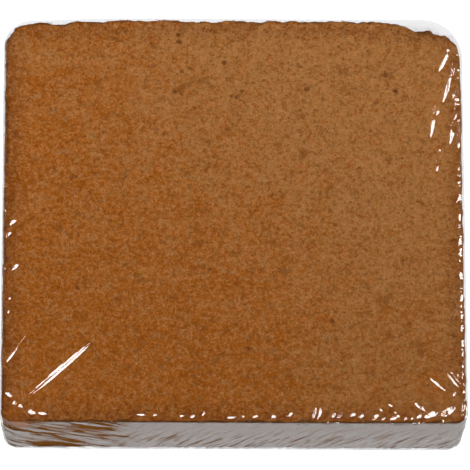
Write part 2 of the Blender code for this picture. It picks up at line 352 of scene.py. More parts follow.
@dataclass
class Surface:
    """A closed surface of triangles: its points and, for each triangle, their numbers."""

    points: np.ndarray
    corners: np.ndarray

    @classmethod
    def box(cls, half: np.ndarray) -> "Surface":
        """A plain box of those half sizes, its faces outward."""
        mesh = bmesh.new()
        bmesh.ops.create_cube(mesh, size=2.0)
        bmesh.ops.triangulate(mesh, faces=mesh.faces)
        points = np.array([tuple(vertex.co) for vertex in mesh.verts]) * half
        corners = np.array([[vertex.index for vertex in face.verts] for face in mesh.faces])
        mesh.free()
        return cls(points, corners)

    def refined(self, size_rule: SizeRule) -> "Surface":
        """Splits triangles until each of their sides is as short as the rule asks there."""
        surface = self
        for _ in range(MOST_SPLITS):
            surface = surface.split_long_sides(size_rule)
        return surface

    def split_long_sides(self, size_rule: SizeRule) -> "Surface":
        """Splits each side that is too long once."""
        count = len(self.points)
        sides = np.sort(np.stack([self.corners, np.roll(self.corners, -1, axis=1)], axis=2), axis=2)
        keys, which = np.unique(sides[..., 0] * count + sides[..., 1], return_inverse=True)
        ends = self.points[np.stack([keys // count, keys % count], axis=1)]
        middles = ends.mean(axis=1)
        long = np.linalg.norm(ends[:, 0] - ends[:, 1], axis=1) > size_rule(middles)
        numbers = np.where(long, count + np.cumsum(long) - 1, -1)
        splits = numbers[which.reshape(self.corners.shape)]
        return Surface(np.concatenate([self.points, middles[long]]), self.split_triangles(splits))

    def split_triangles(self, splits: np.ndarray) -> np.ndarray:
        """Splits triangles at the middles of some of their sides.

        Args:
            splits: the new point's number on each side of each triangle, or -1 on a side that stays.

        Returns:
            The corners of all the triangles.
        """
        cut = (splits >= 0).sum(axis=1)
        whole = self.corners[cut == 0]
        (a, b, c), (ab, _, _) = self.turned(splits, cut == 1, splits >= 0)
        halves = [(a, ab, c), (ab, b, c)]
        (d, e, f), (de, ef, _) = self.turned(splits, cut == 2, np.roll(splits < 0, 1, axis=1))
        thirds = [(de, e, ef), (d, de, ef), (d, ef, f)]
        (g, h, i), (gh, hi, ig) = self.turned(splits, cut == 3, splits >= 0)
        quarters = [(g, gh, ig), (gh, h, hi), (ig, hi, i), (gh, hi, ig)]
        return np.concatenate([whole, *(np.stack(three, axis=1) for three in halves + thirds + quarters)])

    def turned(
        self, splits: np.ndarray, chosen: np.ndarray, first: np.ndarray
    ) -> tuple[np.ndarray, np.ndarray]:
        """The corners and splits of chosen triangles, turned so that the side marked first comes first."""
        order = (np.argmax(first[chosen], axis=1)[:, None] + np.arange(3)) % 3
        corners = np.take_along_axis(self.corners[chosen], order, axis=1)
        return corners.T, np.take_along_axis(splits[chosen], order, axis=1).T

    def as_object(self, name: str, places: np.ndarray, finish: bpy.types.Material) -> bpy.types.Object:
        """A smooth-shaded object with the surface's points at those places, stood on the ground."""
        data = bpy.data.meshes.new(name)
        data.from_pydata((places + (0, 0, BALE_SIZE[2] / 2)).tolist(), [], self.corners.tolist())
        data.materials.append(finish)
        data.shade_smooth()
        made = bpy.data.objects.new(name, data)
        bpy.context.scene.collection.objects.link(made)
        return made


def add_values(data: bpy.types.Mesh, name: str, values: np.ndarray) -> None:
    """Stores one number on each point of a mesh."""
    attribute = data.attributes.new(name, "FLOAT", "POINT")
    attribute.data.foreach_set("value", values.astype(np.float32))


def plain_copy(thing: bpy.types.Object, name: str) -> bpy.types.Object:
    """A plain mesh object of what an object's modifiers make."""
    graph = bpy.context.evaluated_depsgraph_get()
    data = bpy.data.meshes.new_from_object(thing.evaluated_get(graph))
    made = bpy.data.objects.new(name, data)
    data.name = name
    bpy.context.scene.collection.objects.link(made)
    return made


class Signal:
    """A number in a shader, with Python's arithmetic."""

    def __init__(self, shader: "Shader", socket: bpy.types.NodeSocket) -> None:
        self.shader = shader
        self.socket = socket

    def math(self, operation: str, *terms: "Signal | float", clamp: bool = False) -> "Signal":
        """Adds a Math node for an operation on those terms."""
        inputs = dict(enumerate(terms))
        made = self.shader.node("ShaderNodeMath", {"operation": operation, "use_clamp": clamp}, inputs)
        return Signal(self.shader, made.outputs[0])

    def __add__(self, other: "Signal | float") -> "Signal":
        """The sum."""
        return self.math("ADD", self, other)

    __radd__ = __add__

    def __sub__(self, other: "Signal | float") -> "Signal":
        """The difference."""
        return self.math("SUBTRACT", self, other)

    def __rsub__(self, other: float) -> "Signal":
        """The difference, the other way round."""
        return self.math("SUBTRACT", other, self)

    def __mul__(self, other: "Signal | float") -> "Signal":
        """The product."""
        return self.math("MULTIPLY", self, other)

    __rmul__ = __mul__

    def __pow__(self, other: float) -> "Signal":
        """The power."""
        return self.math("POWER", self, other)

    def absolute(self) -> "Signal":
        """The number without its sign."""
        return self.math("ABSOLUTE", self)

    def clamped(self) -> "Signal":
        """The number kept between 0 and 1."""
        return self.math("ADD", self, 0.0, clamp=True)

    def step(self, start: float, end: float) -> "Signal":
        """0 at start, 1 at end and a soft turn between."""
        limits = {"Value": self, "From Min": start, "From Max": end}
        made = self.shader.node("ShaderNodeMapRange", {"interpolation_type": "SMOOTHSTEP"}, limits)
        return Signal(self.shader, made.outputs["Result"])


@dataclass(frozen=True)
class Clouds:
    """A cloudy pattern: how many clouds to the metre, its finer layers, their weight, and its shift."""

    grain: float
    detail: float = 2.0
    bite: float = 0.5
    offset: Triple = (0.0, 0.0, 0.0)


@dataclass(frozen=True)
class Streaks:
    """Streaks at an angle from level, in degrees, with so many to the metre along each axis."""

    angle: float
    grain: Triple
    detail: float = 2.0
    waviness: float = 0.3


class Shader:
    """A material whose nodes are added one at a time."""

    def __init__(self, name: str) -> None:
        self.material = bpy.data.materials.new(name)
        self.material.use_nodes = True
        self.tree = self.material.node_tree
        self.tree.nodes.clear()
        self.place = self.node("ShaderNodeTexCoord").outputs["Object"]

    def node(self, kind: str, settings: dict | None = None, inputs: dict | None = None) -> bpy.types.Node:
        """Adds a node.

        Args:
            kind: the node's type.
            settings: its properties.
            inputs: a value, a socket or a signal for each input, by name or number.

        Returns:
            The node.
        """
        made = self.tree.nodes.new(kind)
        for name, value in (settings or {}).items():
            setattr(made, name, value)
        for name, value in (inputs or {}).items():
            source = value.socket if isinstance(value, Signal) else value
            if isinstance(source, bpy.types.NodeSocket):
                self.tree.links.new(source, made.inputs[name])
            else:
                made.inputs[name].default_value = source
        return made

    def clouds(self, clouds: Clouds) -> Signal:
        """A cloudy pattern around 0.5."""
        inputs = {0: self.place, 1: clouds.offset}
        moved = self.node("ShaderNodeVectorMath", {"operation": "ADD"}, inputs).outputs[0]
        inputs = {"Vector": moved, "Scale": clouds.grain, "Detail": clouds.detail, "Roughness": clouds.bite}
        return Signal(self, self.node("ShaderNodeTexNoise", {}, inputs).outputs["Fac"])

    def streaks(self, streaks: Streaks) -> Signal:
        """A streaky pattern around 0."""
        inputs = {"Vector": self.place, "Angle": math.radians(streaks.angle)}
        turned = self.node("ShaderNodeVectorRotate", {"rotation_type": "Y_AXIS"}, inputs).outputs[0]
        inputs = {0: turned, 1: streaks.grain}
        drawn_out = self.node("ShaderNodeVectorMath", {"operation": "MULTIPLY"}, inputs).outputs[0]
        inputs = {
            "Vector": drawn_out,
            "Scale": 1.0,
            "Detail": streaks.detail,
            "Distortion": streaks.waviness,
        }
        return Signal(self, self.node("ShaderNodeTexNoise", {}, inputs).outputs["Fac"]) - 0.5

    def axes(self) -> tuple[Signal, Signal, Signal]:
        """The place's three coordinates, in metres."""
        parts = self.node("ShaderNodeSeparateXYZ", {}, {0: self.place}).outputs
        return Signal(self, parts[0]), Signal(self, parts[1]), Signal(self, parts[2])

    def attribute(self, name: str) -> Signal:
        """A number stored on the mesh."""
        return Signal(self, self.node("ShaderNodeAttribute", {"attribute_name": name}).outputs["Fac"])

    def bump(self, height: Signal, distance: float, strength: float) -> bpy.types.NodeSocket:
        """The normal of a surface with that height, where 1 in it stands for that distance."""
        inputs = {"Height": height, "Distance": distance, "Strength": strength}
        return self.node("ShaderNodeBump", {}, inputs).outputs[0]

    def mix(
        self, amount: Signal | float, first: Paint, second: Paint, blend: str = "MIX"
    ) -> bpy.types.NodeSocket:
        """Two colours mixed, each a colour or a colour socket."""
        first, second = (c if isinstance(c, bpy.types.NodeSocket) else (*c, 1.0) for c in (first, second))
        settings = {"data_type": "RGBA", "blend_type": blend}
        return self.node("ShaderNodeMix", settings, {0: amount, 6: first, 7: second}).outputs[2]

    def finish(self, surface: bpy.types.NodeSocket) -> bpy.types.Material:
        """Connects the surface and gives the material."""
        self.node("ShaderNodeOutputMaterial", {}, {"Surface": surface})
        return self.material


def weighted(weights: tuple[float, ...], *parts: Signal) -> Signal:
    """The sum of some signals, each times its weight."""
    return sum(weight * part for weight, part in zip(weights, parts, strict=True))


@dataclass(frozen=True)
class CoirFinish:
    """Pressed coir pith: matt and granular, redder and darker along its edges, with shade painted on it.

    A share is how strongly a stain covers what is under it. A band is where a pattern begins to tell and
    where it tells in full.
    """

    name: str = "pressed_coir"
    light_grain: Colour = (0.445, 0.198, 0.070)
    dark_grain: Colour = (0.140, 0.030, 0.0026)
    red_patch: Colour = (0.309, 0.088, 0.0065)
    tan_patch: Colour = (0.321, 0.136, 0.0340)
    red_blotch: Colour = (0.310, 0.074, 0.0040)
    olive_blotch: Colour = (0.284, 0.128, 0.0360)
    rim: Colour = (0.150, 0.040, 0.0060)
    clump: Colour = (0.155, 0.043, 0.0040)
    # Painted shade in the pits, darker the deeper they are.
    pit_shade: Colour = (0.075, 0.016, 0.002)
    # Painted shade of the walls, tinted olive: in full on the front wall, in part on the others.
    side_shade: Colour = (0.47, 0.56, 0.68)
    shadow: Colour = (0.0, 0.0, 0.0)
    granules: float = 640.0
    fine: Clouds = Clouds(760.0, 1.0)
    coarse: Clouds = Clouds(340.0, offset=(3.0, 1.0, 2.0))
    specks: Clouds = Clouds(300.0, offset=(8.0, 2.0, 5.0))
    patches: Clouds = Clouds(60.0, 4.0, 0.6, (5.0, 9.0, 4.0))
    clumps: Clouds = Clouds(105.0, 4.0, 0.65, (9.0, 3.0, 6.0))
    reds: Clouds = Clouds(210.0, 3.0, 0.6, (6.0, 4.0, 1.0))
    olives: Clouds = Clouds(190.0, 3.0, 0.6, (2.0, 8.0, 7.0))
    broad: Clouds = Clouds(8.0, offset=(1.0, 6.0, 8.0))
    # The top turns from red to tan by its patches and broad clouds, its own colour, and to the right and the
    # back, a painted sheen of the film.
    tan_by_clouds: Pair = (0.35, 0.25)
    sheen_tan_by_place: Pair = (1.0, 0.8)
    tan_base: float = 0.20
    tan_band: Pair = (0.36, 0.64)
    blotch_band: Pair = (0.50, 0.70)
    red_share: float = 0.55
    olive_share: float = 0.75
    # The weights of the granules' own tones, the fine and coarse clouds and the patches.
    grain_weights: tuple[float, ...] = (0.24, 0.9, 0.9, 0.25)
    contrast: float = 1.75
    rim_contrast: float = 0.7
    lift: float = 0.03
    speck_band: Pair = (0.68, 0.76)
    speck_share: float = 0.5
    clump_band: Pair = (0.57, 0.67)
    clump_share: float = 0.10
    coarse_clump_share: float = 0.75
    # The worn rim shows where the reds and the coarse clouds, with these weights, pass the threshold.
    worn_weights: Pair = (2.2, 0.8)
    worn_threshold: float = 1.00
    worn_share: float = 0.65
    rim_share: float = 0.10
    pit_shade_share: float = 0.85
    # Painted shade: the top is painted darker towards the front and the right.
    front_shade: float = 0.140
    right_shade: float = 0.25
    shade_slope: float = 1.05
    roughness: float = 0.95
    shine: float = 0.0
    # The weights of the fine and coarse clouds, the cracks between granules and the granules' own heights.
    relief_weights: tuple[float, ...] = (0.5, 0.9, -0.3, 0.15)
    relief: float = 0.0006
    relief_strength: float = 0.9

    def stained(self, shader: Shader, patches: Signal, reds: Signal) -> bpy.types.NodeSocket:
        """The colour without its grain: red to tan over the top, partly a painted sheen of the film, with
        red and olive blotches.
        """
        place_x, place_y, _ = shader.axes()
        clouds = weighted(self.tan_by_clouds, patches, shader.clouds(self.broad))
        across = clouds + self.tan_base + weighted(self.sheen_tan_by_place, place_x, place_y)
        olives = shader.clouds(self.olives)
        colour = shader.mix(across.step(*self.tan_band), self.red_patch, self.tan_patch)
        colour = shader.mix(reds.step(*self.blotch_band) * self.red_share, colour, self.red_blotch)
        return shader.mix(olives.step(*self.blotch_band) * self.olive_share, colour, self.olive_blotch)

    def shaded(self, shader: Shader, colour: bpy.types.NodeSocket) -> bpy.types.NodeSocket:
        """Paints shade into a colour: darker on the walls and, on the top, towards the front and the right.
        """
        place_x, place_y, _ = shader.axes()
        shade = self.front_shade - self.shade_slope * place_y + self.right_shade * place_x
        colour = shader.mix(shade.clamped(), colour, self.shadow)
        # The walls get the painted shade by their upright values.
        return shader.mix(shader.attribute("upright"), colour, self.side_shade, "MULTIPLY")

    def make(self) -> bpy.types.Material:
        """Builds the material."""
        shader = Shader(self.name)
        inputs = {"Vector": shader.place, "Scale": self.granules}
        cells = shader.node("ShaderNodeTexVoronoi", {}, inputs).outputs
        tone = Signal(shader, shader.node("ShaderNodeSeparateColor", {}, {0: cells["Color"]}).outputs[0])
        crack = Signal(shader, cells["Distance"])
        fine, coarse, specks, patches, clumps, reds = (
            shader.clouds(clouds)
            for clouds in (self.fine, self.coarse, self.specks, self.patches, self.clumps, self.reds)
        )
        rim, pit = shader.attribute("rim"), shader.attribute("pit")
        grain = weighted(self.grain_weights, *(part - 0.5 for part in (tone, fine, coarse, patches)))
        grain = grain * (self.contrast * (1.0 + self.rim_contrast * rim)) + self.lift
        clump_share = self.clump_share + self.coarse_clump_share * coarse
        worn = (rim * (weighted(self.worn_weights, reds, coarse) - self.worn_threshold)).clamped()
        colour = self.stained(shader, patches, reds)
        for amount, stain in (
            (grain.clamped(), self.light_grain),
            ((0.0 - grain).clamped(), self.dark_grain),
            (specks.step(*self.speck_band) * self.speck_share, self.dark_grain),
            (clumps.step(*self.clump_band) * clump_share, self.clump),
            (worn * self.worn_share + rim * self.rim_share, self.rim),
            # Painted shade in the pits.
            (pit.clamped() * self.pit_shade_share, self.pit_shade),
        ):
            colour = shader.mix(amount, colour, stain)
        height = weighted(self.relief_weights, fine, coarse, crack, tone)
        inputs = {
            "Base Color": self.shaded(shader, colour),
            "Roughness": self.roughness,
            "Specular IOR Level": self.shine,
            "Normal": shader.bump(height, self.relief, self.relief_strength),
        }
        return shader.finish(shader.node("ShaderNodeBsdfPrincipled", {}, inputs).outputs[0])


@dataclass(frozen=True)
class FibreFinish:
    """Loose coir fibres, from straw-coloured to dark brown."""

    name: str = "coir_fibre"
    straw: Colour = (0.430, 0.235, 0.085)
    brown: Colour = (0.150, 0.050, 0.012)
    tones: Clouds = Clouds(130.0, offset=(2.0, 7.0, 3.0))
    straw_band: Pair = (0.40, 0.62)
    streaks: Clouds = Clouds(2200.0, 1.0)
    streak_share: float = 0.35
    roughness: float = 0.7
    relief: float = 0.0001
    relief_strength: float = 0.5

    def make(self) -> bpy.types.Material:
        """Builds the material."""
        shader = Shader(self.name)
        streaks = shader.clouds(self.streaks)
        colour = shader.mix(shader.clouds(self.tones).step(*self.straw_band), self.brown, self.straw)
        inputs = {
            "Base Color": shader.mix(streaks * self.streak_share, colour, self.brown),
            "Roughness": self.roughness,
            "Normal": shader.bump(streaks, self.relief, self.relief_strength),
        }
        return shader.finish(shader.node("ShaderNodeBsdfPrincipled", {}, inputs).outputs[0])


@dataclass(frozen=True)
class FilmFinish:
    """Clear shrink film: it shows what is behind it and mirrors more the flatter it is seen.

    A mirror is the share of light that the film mirrors: facing and clear where it is seen straight, on the
    top and on the walls, and the others where it is seen at a flat angle. The front wall is silvered. It
    is tight at its left end and loose, with slanted streaks, over the rest.
    """

    name: str = "clear_film"
    tint: Colour = (0.985, 0.985, 0.988)
    gloss: Colour = (0.400, 0.388, 0.380)
    roughness: float = 0.05
    facing_mirror: float = 0.125
    clear_mirror: float = 0.05
    grazing_mirror: float = 0.13
    tight_mirror: float = 0.36
    loose_mirror: float = 0.83
    flatness_power: float = 3.0
    # The fine creases: their clouds, the middle of their sum, and how they stand where nothing crumples.
    fine_creases: Clouds = Clouds(260.0, 1.0, 0.4)
    fine_crease_weight: float = 0.5
    creases: Clouds = Clouds(110.0, offset=(4.0, 2.0, 9.0))
    crease_middle: float = 0.75
    least_crumple: float = 0.03
    crumple_height: float = 0.0014
    # The front wall's streaks, and the lines among them.
    tight_streaks: Streaks = Streaks(-38.0, (40.0, 40.0, 210.0))
    loose_streaks: Streaks = Streaks(65.0, (30.0, 30.0, 400.0))
    streak_height: float = 0.0003
    tight_contrast: float = 5.2
    loose_contrast: float = 3.4
    line_contrast: float = 0.6
    line_middle: float = 0.25
    line_sharpness: float = 26.0
    # From the first height to the second the loose streaks grow faint, and keep this share.
    fading_band: Pair = (0.030, 0.075)
    faint_share: float = 0.2
    # Painted shade along the foot of the front wall, in its lowest millimetres, broken into patches.
    foot_shade: float = 0.9
    foot_band: Pair = (0.001, 0.008)
    foot_shade_patches: Clouds = Clouds(40.0, offset=(7.0, 7.0, 1.0))
    foot_shade_patch_band: Pair = (0.45, 0.60)
    # The pleats by the weld.
    pleats: Streaks = Streaks(0.0, (150.0, 150.0, 14.0))
    pleat_height: float = 0.0003
    pleat_reach: float = 0.024
    pleat_contrast: float = 0.14

    def lines(self, pattern: Signal) -> Signal:
        """Thin lines where a pattern crosses 0."""
        return (1.0 - self.line_sharpness * pattern.absolute()).clamped()

    def weld_pleats(self, shader: Shader, height_up: Signal) -> Signal:
        """The pleats that run up and down from the weld."""
        from_weld = (height_up - BALE_SIZE[2] / 2).absolute()
        near_weld = (1.0 - from_weld * (1 / self.pleat_reach)).clamped()
        return self.lines(shader.streaks(self.pleats)) * near_weld

    def front_mirror(self, shader: Shader, streaks: Signal, sloping: Signal, height_up: Signal) -> Signal:
        """How much the front wall mirrors at a flat angle."""
        low = 1.0 - height_up.step(*self.fading_band)
        # Painted shade along the foot: the film mirrors less there and the dark coir shows.
        shade_patches = shader.clouds(self.foot_shade_patches).step(*self.foot_shade_patch_band)
        foot = (1.0 - height_up.step(*self.foot_band)) * shade_patches
        lined = self.loose_contrast * streaks + self.line_contrast * (self.lines(streaks) - self.line_middle)
        faded = lined * (self.faint_share + (1.0 - self.faint_share) * low)
        tight = self.tight_mirror + self.tight_contrast * streaks
        loose = self.loose_mirror + faded - self.foot_shade * foot
        return tight + (loose - tight) * sloping

    def make(self) -> bpy.types.Material:
        """Builds the material."""
        shader = Shader(self.name)
        crumple, upright, silvered, sloping, bare = (
            shader.attribute(name) for name in ("crumple", "upright", "silvered", "sloping", "bare")
        )
        _, _, height_up = shader.axes()
        creases = shader.clouds(self.fine_creases) * self.fine_crease_weight + shader.clouds(self.creases)
        tight, loose = shader.streaks(self.tight_streaks), shader.streaks(self.loose_streaks)
        streaks = tight * (1.0 - sloping) + loose * sloping
        pleats = self.weld_pleats(shader, height_up) * upright * (1.0 - silvered)
        height = (
            (creases - self.crease_middle) * (self.least_crumple + crumple) * self.crumple_height
            + streaks * upright * self.streak_height
            + pleats * self.pleat_height
        )
        normal = shader.bump(height, 1.0, 1.0)
        weight = shader.node("ShaderNodeLayerWeight", {}, {"Blend": 0.5, "Normal": normal})
        flatness = Signal(shader, weight.outputs["Facing"]) ** self.flatness_power
        front = self.front_mirror(shader, streaks, sloping, height_up)
        grazing = self.grazing_mirror + (front - self.grazing_mirror) * silvered
        facing = self.facing_mirror + (self.clear_mirror - self.facing_mirror) * bare
        mirror = (facing + (grazing - facing) * flatness + self.pleat_contrast * pleats).clamped()
        clear = shader.node("ShaderNodeBsdfTransparent", {}, {"Color": (*self.tint, 1.0)}).outputs[0]
        inputs = {"Color": (*self.gloss, 1.0), "Roughness": self.roughness, "Normal": normal}
        gloss = shader.node("ShaderNodeBsdfAnisotropic", {}, inputs).outputs[0]
        inputs = {0: mirror, 1: clear, 2: gloss}
        return shader.finish(shader.node("ShaderNodeMixShader", {}, inputs).outputs[0])


@dataclass(frozen=True)
class FloorFinish:
    """A plain, matt, white floor that glows like a light table, so that it holds no shadow."""

    name: str = "pale_floor"
    colour: Colour = (0.06, 0.06, 0.06)
    mottled: Colour = (0.0594, 0.0594, 0.0594)
    mottle: Clouds = Clouds(3.0)
    glow: float = 1.12

    def make(self) -> bpy.types.Material:
        """Builds the material."""
        shader = Shader(self.name)
        inputs = {
            "Base Color": shader.mix(shader.clouds(self.mottle), self.colour, self.mottled),
            "Roughness": 1.0,
            "Specular IOR Level": 0.0,
            "Emission Color": (1, 1, 1, 1),
            "Emission Strength": self.glow,
        }
        return shader.finish(shader.node("ShaderNodeBsdfPrincipled", {}, inputs).outputs[0])


@dataclass(frozen=True)
class Pit:
    """A small hole in the top of the coir, in millimetres from the middle of the top."""

    place: Pair
    radius: float
    depth: float


@dataclass(frozen=True)
class WornCorner:
    """An upright part of the coir's sides that has crumbled away.

    Its place is given in shares of half the width and half the depth, and its reach and depth in metres.
    """

    place: Pair
    reach: float
    depth: float


@dataclass
class CoirBlock:
    """The pressed brick of coir: granular faces, crumbled edges and worn corners.

    A kind of lumps is how many there are to the metre and how far their pattern is shifted.
    """

    clumps: Pair = (95.0, 3.0)
    fine_lumps: Pair = (210.0, 7.0)
    grit: Pair = (520.0, 1.0)
    edge_band: float = 0.013
    edge_wear: float = 0.0021
    # The weights of the clumps, the fine lumps and the grit, on the edges, where the wear starts at the
    # threshold, and on the faces.
    edge_weights: Triple = (1.7, 1.0, 0.3)
    edge_threshold: float = 1.10
    face_weights: Triple = (0.0, 0.6, 0.7)
    face_wear: float = 0.00035
    # The sides, up to this upward part of a surface's outward way, are worn this much more by the clumps.
    side_wear: float = 0.0007
    side_to: float = 0.5
    # The film holds the lower edges towards the front, and they are worn this much less.
    held_share: float = 0.75
    held_forward: Pair = (0.08, 0.12)
    held_downward: Pair = (-0.025, 0.0)
    rim_start: float = 0.001
    rim_end: float = 0.0182
    level_from: float = 0.8
    # The walls other than the front get this share of the painted wall shade.
    plain_wall_shade: float = 0.2
    top_looseness: float = 0.45
    side_looseness: float = 0.2
    clean_foot: Pair = (0.005, 0.010)
    top_step: float = 0.0030
    rim_step: float = 0.0022
    side_step: float = 0.0048
    underside_step: float = 0.0120
    pit_step: float = 0.0009
    grading: float = 0.4
    worn_corners: tuple[WornCorner, ...] = (
        WornCorner((0.84, 1.0), 0.034, 0.0054),
        WornCorner((-0.78, 1.0), 0.012, 0.0012),
    )
    worn_skew: float = 0.4
    worn_rag: Pair = (0.35, 0.15)
    pit_lumps: float = 380.0
    pit_rag: float = 0.8
    pit_edge: Pair = (0.25, 1.25)
    deepest_pit: float = 1.2
    pits: tuple[Pit, ...] = (
        Pit((106.0, 86.5), 1.7, 1.2),
        Pit((92.5, 78.5), 1.8, 0.7),
        Pit((88.0, 113.5), 1.4, 0.7),
        Pit((98.5, 97.5), 2.0, 0.8),
        Pit((-7.0, 105.0), 1.8, 1.0),
        Pit((4.5, 86.0), 1.6, 0.8),
        Pit((-37.0, 123.5), 1.8, 1.2),
        Pit((-36.0, 119.0), 2.2, 1.0),
        Pit((-53.0, 116.0), 3.0, 0.5),
        Pit((-34.5, 99.5), 1.5, 0.8),
        Pit((-29.5, 101.5), 1.3, 0.7),
        Pit((-38.5, 85.5), 1.6, 0.9),
        Pit((-34.5, 83.8), 1.4, 0.8),
        Pit((-2.5, 82.8), 1.1, 0.9),
        Pit((1.2, 82.4), 1.1, 0.8),
        Pit((47.0, 87.0), 2.0, 0.8),
        Pit((-46.0, 57.0), 1.6, 0.8),
        Pit((-16.5, -32.5), 1.6, 0.7),
        Pit((9.0, -85.0), 1.6, 0.8),
        Pit((63.0, -66.0), 1.7, 0.8),
        Pit((-101.0, -45.0), 1.8, 0.7),
        Pit((-106.0, 28.0), 1.8, 0.8),
        Pit((65.5, -78.0), 1.3, 0.7),
        Pit((66.0, -3.0), 1.4, 0.7),
    )
    block: RoundedBlock = field(default_factory=lambda: RoundedBlock(COIR_INSET, front_edge_round=0.0018))

    def step_at(self, flat: np.ndarray) -> np.ndarray:
        """The longest side wanted for a triangle at each point of the plain box."""
        top, below = (self.block.face_mask(flat, side) for side in (Side.TOP, Side.UNDERSIDE))
        step = np.select([top, below], [self.top_step, self.underside_step], self.side_step)
        steps = (self.rim_step, self.side_step)
        step = np.minimum(step, self.block.near_rim_step(flat, steps, self.edge_band, self.grading))
        for pit in self.pits:
            away = np.hypot(*(flat[top, :2] - np.array(pit.place) * MILLIMETRE).T) - pit.radius * MILLIMETRE
            step[top] = np.minimum(step[top], self.pit_step + self.grading * np.maximum(away, 0))
        return step

    def rim(self, flat: np.ndarray) -> np.ndarray:
        """1 on the block's edges, falling to 0 inside them."""
        return 1 - smooth(self.block.from_edge(flat), self.rim_start, self.rim_end)

    def pit_depth(self, flat: np.ndarray) -> np.ndarray:
        """How deep the pits in the top are at each point, in metres."""
        depth = np.zeros(len(flat))
        on_top = self.block.face_mask(flat, Side.TOP)
        for pit in self.pits:
            centre = np.array(pit.place) * MILLIMETRE
            ragged = 1 + self.pit_rag * lumps(flat[on_top], self.pit_lumps, pit.place[0])
            away = np.hypot(*(flat[on_top, :2] - centre).T) * ragged / (pit.radius * MILLIMETRE)
            depth[on_top] += pit.depth * MILLIMETRE * (1 - smooth(away, *self.pit_edge))
        return depth

    def wear(self, flat: np.ndarray, out: np.ndarray) -> np.ndarray:
        """How far the coir lies under the rounded block at each point, in metres."""
        kinds = (self.clumps, self.fine_lumps, self.grit)
        patterns = np.array([lumps(flat, *kind) * 0.5 + 0.5 for kind in kinds])
        edge = 1 - smooth(self.block.from_edge(flat), 0.0, self.edge_band)
        held = smooth(-flat[:, 1], *self.held_forward) * smooth(-flat[:, 2], *self.held_downward)
        edge = edge * (1 - self.held_share * held)
        wear = self.edge_wear * edge * np.maximum(self.edge_weights @ patterns - self.edge_threshold, 0)
        wear += self.face_wear * (self.face_weights @ patterns)
        on_side = np.abs(out[:, 2]) < self.side_to
        return wear + np.where(on_side, self.side_wear * patterns[0], 0.0)

    def crumbled(self, flat: np.ndarray) -> np.ndarray:
        """How far the worn corners push each point level inwards, one row of three to a point."""
        push = np.zeros(flat.shape)
        ragged = 1 + self.worn_rag[0] * lumps(flat, *self.clumps)
        ragged += self.worn_rag[1] * lumps(flat, *self.fine_lumps)
        for corner in self.worn_corners:
            share = np.array(corner.place)
            away = np.hypot(*(flat[:, :2] - share * self.block.half[:2]).T)
            near = 1 - smooth(away, 0.0, corner.reach)
            inward = -share * (self.worn_skew, 1.0)
            push[:, :2] += np.outer(corner.depth * near * ragged, inward / np.linalg.norm(inward))
        return push

    def looseness(self, flat: np.ndarray) -> np.ndarray:
        """How thickly crumbs and fibres lie at each point: most on the edges, and none near the ground."""
        on_top = self.block.face_mask(flat, Side.TOP)
        below = self.block.face_mask(flat, Side.UNDERSIDE)
        faces = self.top_looseness * on_top + self.side_looseness * ~(on_top | below)
        off_ground = smooth(flat[:, 2] + self.block.half[2], *self.clean_foot)
        return (faces + self.rim(flat) ** 2 * ~below) * off_ground

    def build(self, finish: bpy.types.Material) -> bpy.types.Object:
        """Makes the block."""
        surface = Surface.box(self.block.half).refined(self.step_at)
        flat = surface.points
        place, out = self.block.place(flat)
        pits = self.pit_depth(flat)
        worn = place - out * (self.wear(flat, out) + pits)[:, None] + self.crumbled(flat)
        made = surface.as_object("coir_block", worn, finish)
        # The coir's upright values carry the painted wall shade: in full on the front wall, less on the
        # others.
        shade = self.plain_wall_shade + (1 - self.plain_wall_shade) * front_share(out)
        add_values(made.data, "rim", self.rim(flat))
        add_values(made.data, "pit", pits / (self.deepest_pit * MILLIMETRE))
        add_values(made.data, "upright", wall_share(flat, out, self.level_from) * shade)
        add_values(made.data, "loose", self.looseness(flat))
        return made


class GeometryTree:
    """A Geometry Nodes group whose nodes are added one at a time."""

    def __init__(self, name: str) -> None:
        self.tree = bpy.data.node_groups.new(name, "GeometryNodeTree")
        self.tree.interface.new_socket("Geometry", in_out="INPUT", socket_type="NodeSocketGeometry")
        self.tree.interface.new_socket("Geometry", in_out="OUTPUT", socket_type="NodeSocketGeometry")
        self.values: dict[str, object] = {}
        self.source = self.tree.nodes.new("NodeGroupInput")

    def input(self, name: str, kind: str, value: object) -> bpy.types.NodeSocket:
        """Adds a named input with the value that it gets, and gives its socket in the tree."""
        self.tree.interface.new_socket(name, in_out="INPUT", socket_type=kind)
        self.values[name] = value
        return self.source.outputs[name]

    def node(self, kind: str, settings: dict | None = None, inputs: dict | None = None) -> bpy.types.Node:
        """Adds a node, with its settings first and then its sockets' values or links."""
        made = self.tree.nodes.new(kind)
        for name, value in (settings or {}).items():
            setattr(made, name, value)
        for name, value in (inputs or {}).items():
            if isinstance(value, bpy.types.NodeSocket):
                self.tree.links.new(value, made.inputs[name])
            else:
                made.inputs[name].default_value = value
        return made

    def finish(self, instances: bpy.types.NodeSocket, material: bpy.types.NodeSocket) -> None:
        """Ends the tree: makes the instances real and gives them their material."""
        real = self.node("GeometryNodeRealizeInstances", {}, {0: instances}).outputs[0]
        inputs = {"Geometry": real, "Material": material}
        dressed = self.node("GeometryNodeSetMaterial", {}, inputs).outputs[0]
        self.node("NodeGroupOutput", {}, {0: dressed})

    def apply(self, carrier: bpy.types.Object, name: str) -> bpy.types.Object:
        """Runs the tree on an object and gives the result as a plain mesh object."""
        modifier = carrier.modifiers.new(name, "NODES")
        modifier.node_group = self.tree
        for item in self.tree.interface.items_tree:
            if item.in_out == "INPUT" and item.name in self.values:
                modifier[item.identifier] = self.values[item.name]
        made = plain_copy(carrier, name)
        carrier.modifiers.remove(modifier)
        return made


